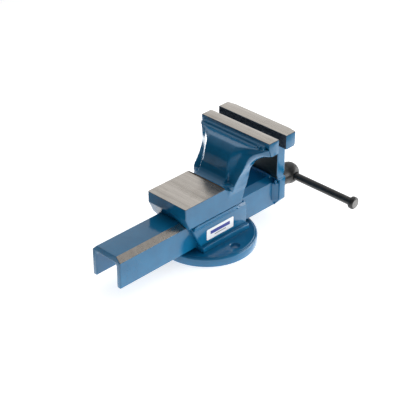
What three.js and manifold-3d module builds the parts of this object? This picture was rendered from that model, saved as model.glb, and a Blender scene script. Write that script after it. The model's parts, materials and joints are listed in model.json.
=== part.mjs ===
// Steel bench vise on a round flange, 125 mm jaws. Millimetres, +Z up.
// The origin is the centre of the flange's bottom face. The slide runs along Y and opens towards -Y,
// where the spindle's handle is. X is the jaws' width.
import * as THREE from 'three';
import { mergeVertices } from 'three/addons/utils/BufferGeometryUtils.js';
import Module from 'manifold-3d';

const wasm = await Module();
wasm.setup();

// ---- driving dimensions ----
const fitGap = 0.3;
const flange = { radius: 70, height: 13.9, chamfer: 1.4 };
const bolt = { holeRadius: 6.5, circleRadius: 54, count: 4 };
const foot = { halfWidth: 38, front: -44.6, rear: 43.7, top: 22.5 };
const wall = { halfWidth: 33, front: -44, rearTop: 57.5, rearBottom: 44, top: 51 };
const body = { halfWidth: 35.2, top: 94, rear: 75, seam: 55.5, seamOuter: 60.5, seamInset: 30 };
const jaw = {
  halfWidth: 62.5, top: 150.8, bottom: 129.5, fixedFace: -73.7, movingFace: -87.3, fixedDepth: 19.4,
  movingDepth: 21.4, frontRound: 5, cornerLength: 7, cornerDepth: 1.4,
};
const channel = {
  halfWidth: 26, top: 65.1, bottom: 19.1, leg: 6.7, web: 8.8,
  bevel: 7.7, innerRound: 6, toe: 1.2, front: -109.5, tail: 182.7,
};
const plate = { halfWidth: 35, thickness: 11.3, cornerHeight: 11, cornerWidth: 9 };
const neck = { rear: -102.7, front: -119, top: 141 };
const spindle = {
  height: 36.5, threadRadius: 9.8, journalRadius: 11.2, tangRadius: 8.8,
  rear: 118, journalRear: -98, tangFront: -140.6,
};
const head = { centre: -168, ballRadius: 17, neckRadius: 13.5, rear: -124, faceRadius: 6, boreFront: -141 };
const nut = { halfWidth: 17, halfLength: 26, top: 51, bevel: 5 };
const screw = {
  x: 11, y: 15, top: 28, bottom: 1, headTop: 9, headRadius: 8, radius: 5, socketRadius: 4.6, socketTop: 5,
  sinkRadius: 8.4, holeRadius: 5.3,
};
const pin = { radius: 2.5, holeRadius: 2.7, headY: -132, headHalf: 13, collarY: -105, collarHalf: 15.4 };
const washerRadius = 17.5;
const collar = { radius: 16, rear: -101 };
const handle = { radius: 5.5, left: -123.6, right: 82, knobRadius: 9, knobLength: 7, spigotRadius: 4 };
const label = { rear: 33.4, front: -18.3, bottom: 27.2, top: 43.5, thickness: 0.3, corner: 2 };

const slotFloor = channel.bottom - fitGap;
const slotHalfWidth = channel.halfWidth + fitGap;
const slotTop = channel.top + fitGap;
const plateFront = channel.front - plate.thickness;

// ---- materials ----
const finishes = {
  enamel: { color: 0x2f6f9f, roughness: 0.35, metalness: 0.1 },
  machined: { color: 0xa59c90, roughness: 0.42, metalness: 0.9 },
  blackened: { color: 0x1b1b1c, roughness: 0.45, metalness: 0.6 },
  bronze: { color: 0x8c7a4a, roughness: 0.5, metalness: 0.8 },
  paper: { color: 0xe6e6ea, roughness: 0.5, metalness: 0 },
};

const vise = new THREE.Group();

function add(name, finish, geometry) {
  const mesh = new THREE.Mesh(geometry, new THREE.MeshStandardMaterial(finishes[finish]));
  mesh.name = name;
  vise.add(mesh);
}

// ---- solids ----
function solid(geometry) {
  const bare = geometry.index ? geometry.clone() : geometry;
  bare.deleteAttribute('normal');
  bare.deleteAttribute('uv');
  const merged = mergeVertices(bare, 1e-4);
  return new wasm.Manifold(new wasm.Mesh({
    numProp: 3,
    vertProperties: Float32Array.from(merged.attributes.position.array),
    triVerts: Uint32Array.from(merged.index.array),
  }));
}

function geometryOf(shape) {
  const mesh = shape.getMesh();
  const geometry = new THREE.BufferGeometry();
  geometry.setAttribute('position', new THREE.BufferAttribute(mesh.vertProperties, 3));
  geometry.setIndex(new THREE.BufferAttribute(mesh.triVerts, 1));
  return geometry;
}

function cut(geometry, ...tools) {
  return geometryOf(tools.reduce((left, tool) => left.subtract(solid(tool)), solid(geometry)));
}

function join(first, ...others) {
  return geometryOf(others.reduce((sum, other) => sum.add(solid(other)), solid(first)));
}

// Which way an outline's own x, y and depth point when it is extruded along each axis.
const directions = {
  x: [[0, 1, 0], [0, 0, 1], [1, 0, 0]],
  y: [[1, 0, 0], [0, 0, 1], [0, -1, 0]],
  z: [[1, 0, 0], [0, 1, 0], [0, 0, 1]],
};

// Extrudes an outline of [y, z], [x, z] or [x, y] points along x, y or z.
function prism(axis, outline, from, to) {
  const shape = outline instanceof THREE.Shape
    ? outline
    : new THREE.Shape(outline.map(([u, v]) => new THREE.Vector2(u, v)));
  const geometry = new THREE.ExtrudeGeometry(shape, { depth: to - from, bevelEnabled: false, curveSegments: 6 });
  const [u, v, w] = directions[axis].map((p) => new THREE.Vector3(...p));
  geometry.applyMatrix4(new THREE.Matrix4().makeBasis(u, v, w));
  const start = axis === 'y' ? to : from;
  return geometry.translate(axis === 'x' ? start : 0, axis === 'y' ? start : 0, axis === 'z' ? start : 0);
}

// A round bar along x, y or z, with its centre line through the two other coordinates.
function rod(axis, radius, from, to, centre, sides = 32) {
  const geometry = new THREE.CylinderGeometry(radius, radius, to - from, sides);
  const middle = (from + to) / 2;
  if (axis === 'x') return geometry.rotateZ(-Math.PI / 2).translate(middle, centre[0], centre[1]);
  if (axis === 'y') return geometry.translate(centre[0], middle, centre[1]);
  return geometry.rotateX(Math.PI / 2).translate(centre[0], centre[1], middle);
}

// A turned piece on the spindle's axis, from [radius, y] points.
function turned(points, sides = 40) {
  const profile = points.map(([r, y]) => new THREE.Vector2(r, y));
  return new THREE.LatheGeometry(profile, sides).translate(0, 0, spindle.height);
}

// A closed skin over rings of equal length, each counterclockwise seen from above.
function loft(rings) {
  const count = rings[0].length;
  const index = [];
  for (let level = 0; level + 1 < rings.length; level++) {
    for (let i = 0; i < count; i++) {
      const a = level * count + i;
      const b = level * count + (i + 1) % count;
      index.push(a, b, b + count, a, b + count, a + count);
    }
  }
  const last = (rings.length - 1) * count;
  for (let i = 1; i + 1 < count; i++) index.push(0, i + 1, i, last, last + i, last + i + 1);
  const geometry = new THREE.BufferGeometry();
  geometry.setAttribute('position', new THREE.Float32BufferAttribute(rings.flat(2), 3));
  geometry.setIndex(index);
  return geometry;
}

const mirrored = (points) => points.map(([u, v]) => [-u, v]).reverse();

// ---- flange and lower housing ----
function baseFlange() {
  const { radius, height, chamfer } = flange;
  const profile = [[0, 0], [radius - 1, 0], [radius, 1], [radius, height - chamfer], [radius - chamfer, height],
    [0, height]];
  const disc = new THREE.LatheGeometry(profile.map(([r, z]) => new THREE.Vector2(r, z)), 72).rotateX(Math.PI / 2);
  const holes = [];
  for (let i = 0; i < bolt.count; i++) {
    const angle = (2 * Math.PI * i) / bolt.count;
    const centre = [bolt.circleRadius * Math.cos(angle), bolt.circleRadius * Math.sin(angle)];
    holes.push(rod('z', bolt.holeRadius, -1, height + 1, centre));
  }
  for (const side of [-1, 1]) {
    const centre = [side * screw.x, side * screw.y];
    holes.push(
      rod('z', screw.sinkRadius, -1, screw.headTop + fitGap, centre, 24),
      rod('z', screw.holeRadius, 0, height + 1, centre, 24),
    );
  }
  return cut(disc, ...holes);
}

// A tray with low side strips, whose floor carries the slide.
function footPad() {
  const tray = [
    [-foot.halfWidth, flange.height], [foot.halfWidth, flange.height], [foot.halfWidth, foot.top],
    [slotHalfWidth, foot.top], [slotHalfWidth, slotFloor], [-slotHalfWidth, slotFloor],
    [-slotHalfWidth, foot.top], [-foot.halfWidth, foot.top],
  ];
  const screwHoles = [-1, 1].map((side) =>
    rod('z', screw.holeRadius, flange.height - 1, slotFloor + 1, [side * screw.x, side * screw.y], 24));
  return cut(prism('y', tray, foot.front, foot.rear), ...screwHoles);
}

// A side plate with its top edge bevelled for the seam weld and its rear edge leaning out.
function sideWall(side) {
  const section = [
    [slotHalfWidth, foot.top], [wall.halfWidth, foot.top], [wall.halfWidth, wall.top],
    [body.seamInset, body.seam - 0.2], [slotHalfWidth, body.seam - 0.2],
  ];
  const bar = prism('y', side > 0 ? section : mirrored(section), wall.front, wall.rearTop + 4);
  const leaning = prism('x', [
    [wall.rearBottom, foot.top - 1], [wall.rearTop + 9, foot.top - 1], [wall.rearTop + 9, body.seam + 2],
    [wall.rearTop + 3, body.seam + 2], [wall.rearTop, wall.top],
  ], -body.halfWidth, body.halfWidth);
  return cut(bar, leaning);
}

function seamWeld(side) {
  const section = [
    [body.seamInset + 0.3, body.seam - 0.1], [wall.halfWidth + 0.3, wall.top], [wall.halfWidth + 1.3, wall.top + 1.6],
    [body.halfWidth - 0.2, body.seam], [body.halfWidth + 0.2, body.seamOuter - 1.2],
    [body.halfWidth - 0.1, body.seamOuter - 0.5],
  ];
  return prism('y', side > 0 ? section : mirrored(section), -28, wall.rearTop);
}

function sideLabel() {
  const { rear, front, bottom, top, corner } = label;
  const shape = new THREE.Shape();
  shape.absarc(rear - corner, top - corner, corner, 0, Math.PI / 2);
  shape.absarc(front + corner, top - corner, corner, Math.PI / 2, Math.PI);
  shape.absarc(front + corner, bottom + corner, corner, Math.PI, 1.5 * Math.PI);
  shape.absarc(rear - corner, bottom + corner, corner, 1.5 * Math.PI, 2 * Math.PI);
  return prism('x', shape, -wall.halfWidth - label.thickness, -wall.halfWidth);
}

// ---- fixed jaw ----
// The neck's stations from the anvil up to the jaw: the back panel's corner, then the rim's rear and front edge.
const neckSteps = 4;
const neckStations = [
  { panel: [23, -14.3, 70], rimRear: [35.2, -14.3, 70], rimFront: [35.2, -35, 70] },
  { panel: [23, -14.3, 84], rimRear: [35.2, -12.7, 84], rimFront: [35.2, -39.7, 84] },
  { panel: [23, -14.3, 94], rimRear: [37, -13.2, 94], rimFront: [35.2, -42.5, 94] },
  { panel: [22.8, -14.4, 102], rimRear: [38.5, -18.3, 102], rimFront: [35.2, -45.2, 101] },
  { panel: [22.2, -15.3, 110], rimRear: [40.2, -24.8, 110], rimFront: [36, -50, 109] },
  { panel: [21.8, -16.8, 118], rimRear: [41.2, -30.1, 118], rimFront: [38.8, -55, 116.8] },
  { panel: [21.8, -18.9, 126], rimRear: [42.6, -34, 126], rimFront: [47, -57, 123.8] },
  { panel: [22.7, -22.6, 134], rimRear: [47, -38.5, 134], rimFront: [56.5, -57.8, 128.2] },
  { panel: [23.8, -26.8, 138.6], rimRear: [56, -46.5, 138.6], rimFront: [62.5, -58.4, 129.8] },
  { panel: [25, -31, 141.9], rimRear: [62.5, -52.4, 141.9], rimFront: [62.5, -54.2, 141.9] },
];

// Rings on a smooth curve through each corner's stations. Between the ends the sides are scooped and the
// front is dished.
function neckRings() {
  const tracks = ['panel', 'rimRear', 'rimFront'].map((corner) => {
    const points = neckStations.map((station) => new THREE.Vector3(...station[corner]));
    return new THREE.CatmullRomCurve3(points, false, 'centripetal');
  });
  const count = (neckStations.length - 1) * neckSteps;
  return Array.from({ length: count + 1 }, (_, i) => {
    const [panel, rimRear, rimFront] = tracks.map((track) => track.getPoint(i / count));
    const bend = Math.sin((Math.PI * i) / count);
    const scoop = panel.clone().lerp(rimRear, 0.5).add(new THREE.Vector3(-0.49, -0.87, 0).multiplyScalar(3 * bend));
    const right = [rimFront, rimRear, scoop, panel].map(({ x, y, z }) => [Math.min(x, jaw.halfWidth), y, z]);
    const left = right.map(([x, y, z]) => [-x, y, z]).reverse();
    return [...right, ...left, [0, rimFront.y + 7 * bend, rimFront.z]];
  });
}

// The hollow where the neck's side runs out into the anvil's side.
function sideScoop(side) {
  const corners = [[24.5, -0.5, 94.2], [35.7, 2.6, 94.2], [35.7, -12.7, 84], [36.4, -13.4, 94.4]];
  const [foot0, rear, tip, front] = corners.map(([x, y, z]) => [side * x, y, z]);
  const geometry = new THREE.BufferGeometry();
  geometry.setAttribute('position', new THREE.Float32BufferAttribute([foot0, rear, tip, front].flat(), 3));
  geometry.setIndex(side > 0 ? [0, 1, 2, 0, 3, 1, 0, 2, 3, 1, 3, 2] : [0, 2, 1, 0, 1, 3, 0, 3, 2, 1, 2, 3]);
  return geometry;
}

function slideSlot() {
  const { bevel } = channel;
  const w = slotHalfWidth;
  return prism('y', [
    [-w, 0], [w, 0], [w, slotTop - bevel], [w - bevel, slotTop], [-w + bevel, slotTop], [-w, slotTop - bevel],
  ], -130, 130);
}

// The anvil block with the seam's bevel along both lower edges.
function anvilBlock() {
  const w = body.halfWidth;
  const section = [
    [-body.seamInset, body.seam], [body.seamInset, body.seam], [w, body.seamOuter], [w, body.top],
    [-w, body.top], [-w, body.seamOuter],
  ];
  const outline = [
    [body.rear, body.top], [body.rear, 78], [66, 58.6], [61, 50], [-31, 50], [-34, 67], [-38, 78], [-39.7, 84],
    [-36, body.top],
  ];
  const bar = solid(prism('y', section, -60, body.rear));
  return geometryOf(bar.intersect(solid(prism('x', [...outline].reverse(), -w, w))));
}

function fixedJawBody() {
  const heel = prism('x', [
    [-16, 92], [0.3, 92], [0.3, body.top], [-4.2, 94.9], [-8.6, 97.2], [-12, 101], [-14, 106.5], [-16, 110],
  ], -24.5, 24.5);
  const whole = join(anvilBlock(), loft(neckRings()), heel);
  return cut(whole, slideSlot(), sideScoop(-1), sideScoop(1));
}

function fixedJawBar() {
  const rear = jaw.fixedFace + jaw.fixedDepth;
  return prism('x', [
    [rear, jaw.top], [jaw.fixedFace + 0.5, jaw.top], [jaw.fixedFace, jaw.top - 0.5], [jaw.fixedFace, jaw.bottom],
    [-58.9, jaw.bottom], [rear - 0.2, 141.6],
  ], -jaw.halfWidth, jaw.halfWidth);
}

// The bead along the jaw bar's lower rear edge, on top of the neck.
function jawWeld() {
  const rear = jaw.fixedFace + jaw.fixedDepth;
  return prism('x', [[rear, 142], [rear + 3.6, 142], [rear + 1.4, 143.2], [rear, 145.6]], -56, 56);
}

// ---- nut ----
function spindleNut() {
  const { halfWidth: w, halfLength, top, bevel } = nut;
  const block = prism('y', [
    [-w, slotFloor], [w, slotFloor], [w, top - bevel], [w - bevel, top], [-w + bevel, top], [-w, top - bevel],
  ], -halfLength, halfLength);
  const bore = rod('y', spindle.threadRadius + 0.2, -halfLength - 1, halfLength + 1, [0, spindle.height], 40);
  const screwHoles = [-1, 1].map((side) =>
    rod('z', screw.radius + 0.2, slotFloor - 1, screw.top + 0.4, [side * screw.x, side * screw.y], 24));
  return cut(block, bore, ...screwHoles);
}

function nutScrew(side) {
  const { bottom, top, headTop, headRadius, radius, socketRadius, socketTop } = screw;
  const centre = [side * screw.x, side * screw.y];
  const turnedScrew = join(
    rod('z', headRadius, bottom, headTop, centre, 24),
    rod('z', radius, headTop - 0.5, top, centre, 24),
  );
  return cut(turnedScrew, rod('z', socketRadius, 0, socketTop, centre, 6));
}

// ---- slide and moving jaw ----
function slideChannel() {
  const { halfWidth: w, top, bottom, leg, web, bevel, innerRound: r, toe, front, tail } = channel;
  const inner = w - leg;
  const roof = top - web;
  const shape = new THREE.Shape();
  shape.moveTo(w - toe, bottom);
  shape.lineTo(w, bottom + toe);
  shape.lineTo(w, top - bevel);
  shape.lineTo(w - bevel, top);
  shape.lineTo(-w + bevel, top);
  shape.lineTo(-w, top - bevel);
  shape.lineTo(-w, bottom + toe);
  shape.lineTo(-w + toe, bottom);
  shape.lineTo(-inner, bottom);
  shape.absarc(-inner + r, roof - r, r, Math.PI, Math.PI / 2, true);
  shape.absarc(inner - r, roof - r, r, Math.PI / 2, 0, true);
  shape.lineTo(inner, bottom);
  return prism('y', shape, front, tail);
}

function frontPlate() {
  const { halfWidth: w, cornerHeight, cornerWidth } = plate;
  const low = channel.bottom;
  const outline = [
    [-w + cornerWidth, low], [w - cornerWidth, low], [w, low + cornerHeight], [w, channel.top],
    [-w, channel.top], [-w, low + cornerHeight],
  ];
  const hole = rod('y', spindle.journalRadius + 0.4, plateFront - 1, channel.front + 1, [0, spindle.height], 40);
  return cut(prism('y', outline, plateFront, channel.front), hole);
}

// The upright behind the moving jaw, waisted above the slide where it is welded on.
function movingNeck() {
  const barFront = jaw.movingFace - jaw.movingDepth;
  return prism('x', [
    [neck.rear - 2.4, channel.top], [neck.rear - 1.6, 69], [neck.rear, 74], [neck.rear, jaw.bottom],
    [barFront - 0.3, jaw.bottom], [barFront - 0.3, neck.top], [neck.front + 5, neck.top - 2],
    [neck.front, jaw.bottom - 4], [neck.front, 74], [neck.front + 1.6, 69], [neck.front + 2.4, channel.top],
  ], -plate.halfWidth, plate.halfWidth);
}

function movingJawBar() {
  const rear = jaw.movingFace;
  const front = rear - jaw.movingDepth;
  const { frontRound: r, cornerLength, cornerDepth } = jaw;
  const round = [0, 1, 2, 3, 4].map((i) => {
    const angle = (Math.PI / 8) * i;
    return [front + r - r * Math.sin(angle), jaw.bottom + r - r * Math.cos(angle)];
  });
  const bar = prism('x', [
    [rear, jaw.bottom], [rear, jaw.top - 0.5], [rear - 0.5, jaw.top], [front, jaw.top], ...round.reverse(),
  ], -jaw.halfWidth, jaw.halfWidth);
  const corners = [-1, 1].map((side) => {
    const inner = side * (jaw.halfWidth - cornerLength);
    const outer = side * (jaw.halfWidth + 1);
    const cutter = [[inner, front - 1], [inner, front], [outer, front + cornerDepth], [outer, front - 1]];
    return prism('z', side > 0 ? cutter : cutter.reverse(), jaw.bottom - 2, jaw.top + 2);
  });
  return cut(bar, ...corners);
}

// Beads where the slide meets the plate, up both sides, and along the foot of the neck.
function plateWeld(side) {
  const low = channel.bottom + 3;
  const high = channel.top - channel.bevel - 1;
  const x = side * (channel.halfWidth + 0.2);
  const section = [[x, channel.front + 0.2], [x, channel.front + 4.6], [x + side * 1.6, channel.front + 2.6],
    [x + side * 4.6, channel.front + 0.2]];
  return prism('z', side > 0 ? section : section.reverse(), low, high);
}

function neckWeld() {
  const rear = neck.rear - 2.2;
  const top = channel.top + 0.2;
  const halfLength = channel.halfWidth - channel.bevel - 1;
  return prism('x', [[rear, top], [rear + 4.6, top], [rear + 2.4, top + 1.8], [rear + 0.9, top + 3.6]],
    -halfLength, halfLength);
}

function frontWeld() {
  const front = neck.front + 2.2;
  const top = channel.top + 0.2;
  return prism('x', [[front, top], [front - 0.9, top + 3.6], [front - 2.8, top + 1.8], [front - 3.8, top]],
    -plate.halfWidth + 2, plate.halfWidth - 2);
}

// ---- spindle ----
function collarPinHole() {
  return rod('x', pin.holeRadius, -20, 20, [pin.collarY, spindle.height], 16);
}

function headPinHole() {
  return rod('z', pin.holeRadius, 10, 60, [0, pin.headY], 16);
}

function spindleScrew() {
  const { threadRadius: r, journalRadius, tangRadius, rear, journalRear, tangFront } = spindle;
  return cut(
    turned([
      [0, tangFront], [tangRadius - 1, tangFront], [tangRadius, tangFront + 1],
      [tangRadius, head.rear + fitGap], [journalRadius, head.rear + fitGap], [journalRadius, journalRear],
      [r, journalRear + 2], [r, rear - 2.5], [r - 2.5, rear], [0, rear],
    ]),
    collarPinHole(),
    headPinHole(),
  );
}

function spindleHead() {
  const { centre, ballRadius: ball, neckRadius, rear, faceRadius, boreFront } = head;
  const from = Math.asin(neckRadius / ball);
  const to = Math.PI - Math.asin(faceRadius / ball);
  const steps = 14;
  const arc = Array.from({ length: steps + 1 }, (_, i) => {
    const angle = from + ((to - from) * i) / steps;
    return [ball * Math.sin(angle), centre + ball * Math.cos(angle)];
  });
  const profile = [[0, rear], [neckRadius - 1, rear], [neckRadius, rear - 1], ...arc, [0, arc[steps][1]]];
  return cut(
    turned(profile.reverse()),
    rod('y', spindle.tangRadius + 0.3, boreFront, rear + 1, [0, spindle.height], 40),
    rod('x', handle.radius + 0.3, -20, 20, [centre, spindle.height], 32),
    headPinHole(),
  );
}

function ringOf(outer, inner, front, rear) {
  return turned([[inner, front], [outer - 0.6, front], [outer, front + 0.6], [outer, rear - 0.6], [outer - 0.6, rear],
    [inner, rear], [inner, front]]);
}

function thrustWasher() {
  return ringOf(washerRadius, spindle.journalRadius + 0.3, head.rear + 0.2, plateFront - 0.2);
}

function retainingCollar() {
  const ring = ringOf(collar.radius, spindle.journalRadius + fitGap, channel.front + fitGap, collar.rear);
  return cut(ring, collarPinHole());
}

function headPin() {
  const { radius, headHalf, headY } = pin;
  return rod('z', radius, spindle.height - headHalf, spindle.height + headHalf, [0, headY], 16);
}

function collarPin() {
  return rod('x', pin.radius, -pin.collarHalf, pin.collarHalf, [pin.collarY, spindle.height], 16);
}

// ---- handle ----
function handleBar() {
  const { left, right, radius, knobLength, spigotRadius } = handle;
  const axis = [head.centre, spindle.height];
  return join(
    rod('x', radius, left + knobLength, right - knobLength, axis),
    rod('x', spigotRadius, left + 2.2, right - 2.2, axis, 24),
  );
}

function handleKnob(side) {
  const outer = side > 0 ? handle.right : handle.left;
  const { knobRadius: r, knobLength: length, spigotRadius } = handle;
  const profile = [[spigotRadius + 0.3, 0], [r - 1, 0], [r, 1], [r, length - 2], [r - 2, length], [0, length],
    [0, length - 1.8], [spigotRadius + 0.3, length - 1.8], [spigotRadius + 0.3, 0]];
  const knob = new THREE.LatheGeometry(profile.map(([x, y]) => new THREE.Vector2(x, y)), 32);
  knob.rotateZ(side > 0 ? -Math.PI / 2 : Math.PI / 2);
  return knob.translate(outer - side * length, head.centre, spindle.height);
}

// ---- assembly ----
add('base_flange', 'enamel', baseFlange());
add('foot_pad', 'enamel', footPad());
add('fixed_jaw_body', 'enamel', fixedJawBody());
add('fixed_jaw_bar', 'machined', fixedJawBar());
add('jaw_weld', 'enamel', jawWeld());
add('side_label', 'paper', sideLabel());
add('spindle_nut', 'bronze', spindleNut());
for (const [name, side] of [['left', -1], ['right', 1]]) {
  add(`side_wall_${name}`, 'enamel', sideWall(side));
  add(`seam_weld_${name}`, 'enamel', seamWeld(side));
  add(`nut_screw_${name}`, 'blackened', nutScrew(side));
  add(`plate_weld_${name}`, 'enamel', plateWeld(side));
  add(`handle_knob_${name}`, 'blackened', handleKnob(side));
}
add('slide_channel', 'enamel', slideChannel());
add('front_plate', 'enamel', frontPlate());
add('moving_neck', 'enamel', movingNeck());
add('moving_jaw_bar', 'machined', movingJawBar());
add('neck_weld', 'enamel', neckWeld());
add('front_weld', 'enamel', frontWeld());
add('spindle_screw', 'blackened', spindleScrew());
add('spindle_head', 'blackened', spindleHead());
add('head_pin', 'blackened', headPin());
add('thrust_washer', 'blackened', thrustWasher());
add('retaining_collar', 'blackened', retainingCollar());
add('collar_pin', 'blackened', collarPin());
add('handle_bar', 'blackened', handleBar());

export default vise;
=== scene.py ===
# Bench vise: forged and welded body, U-channel slide, screw spindle with a tommy bar.
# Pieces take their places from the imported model. Lengths typed here are millimetres unless said otherwise.
import json
import math
import random

import bmesh
import bpy
from mathutils import Matrix, Vector, noise


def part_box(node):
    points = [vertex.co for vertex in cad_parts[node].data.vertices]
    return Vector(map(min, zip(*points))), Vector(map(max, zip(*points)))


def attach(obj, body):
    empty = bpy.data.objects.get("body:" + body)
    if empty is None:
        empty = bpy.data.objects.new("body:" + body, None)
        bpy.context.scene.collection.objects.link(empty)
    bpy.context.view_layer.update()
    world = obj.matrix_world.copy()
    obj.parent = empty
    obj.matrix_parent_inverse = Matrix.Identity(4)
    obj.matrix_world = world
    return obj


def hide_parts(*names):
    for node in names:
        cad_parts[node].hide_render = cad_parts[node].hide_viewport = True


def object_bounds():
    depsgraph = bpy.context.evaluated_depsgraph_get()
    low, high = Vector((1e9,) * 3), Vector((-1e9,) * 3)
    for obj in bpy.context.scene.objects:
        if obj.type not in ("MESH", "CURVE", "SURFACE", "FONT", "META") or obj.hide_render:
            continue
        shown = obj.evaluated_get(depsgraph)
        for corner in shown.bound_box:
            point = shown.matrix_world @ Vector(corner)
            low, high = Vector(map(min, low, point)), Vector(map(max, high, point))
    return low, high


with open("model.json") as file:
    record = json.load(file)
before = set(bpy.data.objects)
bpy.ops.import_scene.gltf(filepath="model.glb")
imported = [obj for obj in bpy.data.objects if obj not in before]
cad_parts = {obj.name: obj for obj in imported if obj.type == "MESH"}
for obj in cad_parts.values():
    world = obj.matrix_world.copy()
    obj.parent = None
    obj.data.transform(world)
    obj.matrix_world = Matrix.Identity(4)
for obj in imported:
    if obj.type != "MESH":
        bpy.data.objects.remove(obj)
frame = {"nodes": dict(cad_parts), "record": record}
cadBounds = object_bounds()
mm = 0.001
random.seed(7)


# mesh tools

def cadBox(node):
    low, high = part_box(node)
    return low / mm, high / mm


def cadMiddle(node):
    low, high = cadBox(node)
    return (low + high) / 2


def mountPlace(name):
    mount = next(m for m in frame["record"]["mounts"] if m["name"] == name)
    return Vector(mount["pos_m"]) / mm


def cadCopy(node):
    bm = bmesh.new()
    bm.from_mesh(frame["nodes"][node].data)
    bmesh.ops.scale(bm, vec=Vector((1, 1, 1)) / mm, verts=bm.verts)
    bmesh.ops.remove_doubles(bm, verts=bm.verts, dist=0.005)
    bmesh.ops.dissolve_limit(bm, angle_limit=math.radians(0.4), verts=bm.verts, edges=bm.edges)
    return bm


def addInto(bm, other):
    scratch = bpy.data.meshes.new("scratch")
    other.to_mesh(scratch)
    other.free()
    bm.from_mesh(scratch)
    bpy.data.meshes.remove(scratch)
    return bm


def block(low, high, slot=0):
    bm = bmesh.new()
    bmesh.ops.create_cube(bm, size=1)
    low, high = Vector(low), Vector(high)
    for vert in bm.verts:
        vert.co = Vector(low[i] + (high[i] - low[i]) * (vert.co[i] + 0.5) for i in range(3))
    for face in bm.faces:
        face.material_index = slot
    return bm


axisOrder = {"x": (2, 0, 1), "y": (0, 2, 1), "z": (0, 1, 2)}


def placeAlong(axis, u, v, w):
    # u and v are the outline's own directions: y and z, x and z, or x and y
    return Vector([(u, v, w)[i] for i in axisOrder[axis]])


def placeAcross(axis, place):
    # the two coordinates of a place that lie across an axis, in the order that outlines use
    return [place["xyz".index(letter)] for letter in "xyz".replace(axis, "")]


def prism(axis, outline, start, end, steps=1):
    bm = bmesh.new()
    rings = []
    for step in range(steps + 1):
        w = start + (end - start) * step / steps
        rings.append([bm.verts.new(placeAlong(axis, u, v, w)) for u, v in outline])
    count = len(outline)
    for near, far in zip(rings, rings[1:]):
        for i in range(count):
            j = (i + 1) % count
            bm.faces.new((near[i], near[j], far[j], far[i]))
    for ring in (rings[0][::-1], rings[-1]):
        bm.faces.new(ring)
    bmesh.ops.recalc_face_normals(bm, faces=bm.faces)
    return bm


def roundCorners(corners, steps):
    # corners are (u, v, radius); a radius of 0 keeps the corner sharp
    outline = []
    count = len(corners)
    for i, (u, v, radius) in enumerate(corners):
        here = Vector((u, v))
        if radius <= 0:
            outline.append((u, v))
            continue
        before = (Vector(corners[i - 1][:2]) - here).normalized()
        after = (Vector(corners[(i + 1) % count][:2]) - here).normalized()
        half = before.angle(after) / 2
        reach = radius / math.tan(half)
        middle = here + (before + after).normalized() * (radius / math.sin(half))
        first, last = here + before * reach - middle, here + after * reach - middle
        turn = first.angle_signed(last)
        for step in range(steps + 1):
            arm = first.copy()
            arm.rotate(Matrix.Rotation(-turn * step / steps, 2))
            outline.append(tuple(middle + arm))
    return outline


def lathe(axis, profile, centre, segments=64, slots=None):
    # profile is (radius, place along the axis); it starts and ends on the axis or closes on itself,
    # and slots gives a material slot for each of its stretches
    bm = bmesh.new()
    closed = profile[0] == profile[-1]
    points = profile[:-1] if closed else profile
    rings = []
    for radius, w in points:
        if radius < 1e-6:
            rings.append([bm.verts.new(placeAlong(axis, centre[0], centre[1], w))])
            continue
        ring = []
        for k in range(segments):
            angle = 2 * math.pi * k / segments
            u, v = centre[0] + radius * math.cos(angle), centre[1] + radius * math.sin(angle)
            ring.append(bm.verts.new(placeAlong(axis, u, v, w)))
        rings.append(ring)
    pairs = list(zip(rings, rings[1:])) + ([(rings[-1], rings[0])] if closed else [])
    for index, (near, far) in enumerate(pairs):
        for k in range(segments):
            j = (k + 1) % segments
            corners = [near[k % len(near)], near[j % len(near)], far[j % len(far)], far[k % len(far)]]
            corners = list(dict.fromkeys(corners))
            if len(corners) > 2:
                face = bm.faces.new(corners)
                face.material_index = slots[index] if slots else 0
    bmesh.ops.recalc_face_normals(bm, faces=bm.faces)
    return bm


def rod(axis, radius, start, end, centre):
    return lathe(axis, [(0, start), (radius, start), (radius, end), (0, end)], centre, 48)


def easedSides(radius, start, end, ease, step):
    # a turned outline from end to end, with both chamfers rounded in two steps
    return [(radius - ease, start), (radius - step, start + step), (radius, start + ease),
            (radius, end - ease), (radius - step, end - step), (radius - ease, end)]


def flaredBore(axis, radius, flare, start, end, centre, segments=48, past=1, mouth=None):
    # cuts a hole that opens out at both ends; past is how far the cutter stands beyond them
    mouth = mouth or radius + flare + past
    profile = [(0, start - past), (mouth, start - past), (radius, start + flare), (radius, end - flare),
               (mouth, end + past), (0, end + past)]
    return lathe(axis, profile, centre, segments)


def softEdges(bm, width, segments, minAngle=25):
    edges = [edge for edge in bm.edges if len(edge.link_faces) == 2
             and edge.calc_face_angle(0) > math.radians(minAngle)]
    bmesh.ops.bevel(bm, geom=edges, offset=width, segments=segments, profile=0.5, affect="EDGES",
                    clamp_overlap=True)
    return bm


def easeEnds(bar, axis, width):
    # softens only the rims of a long bar's two end faces; axis is 0, 1 or 2
    rims = [edge for edge in bar.edges if any(abs(face.normal[axis]) > 0.99 for face in edge.link_faces)
            and any(abs(face.normal[axis]) < 0.9 for face in edge.link_faces)]
    bmesh.ops.bevel(bar, geom=rims, offset=width, segments=2, profile=0.5, affect="EDGES")
    bar.normal_update()


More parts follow.
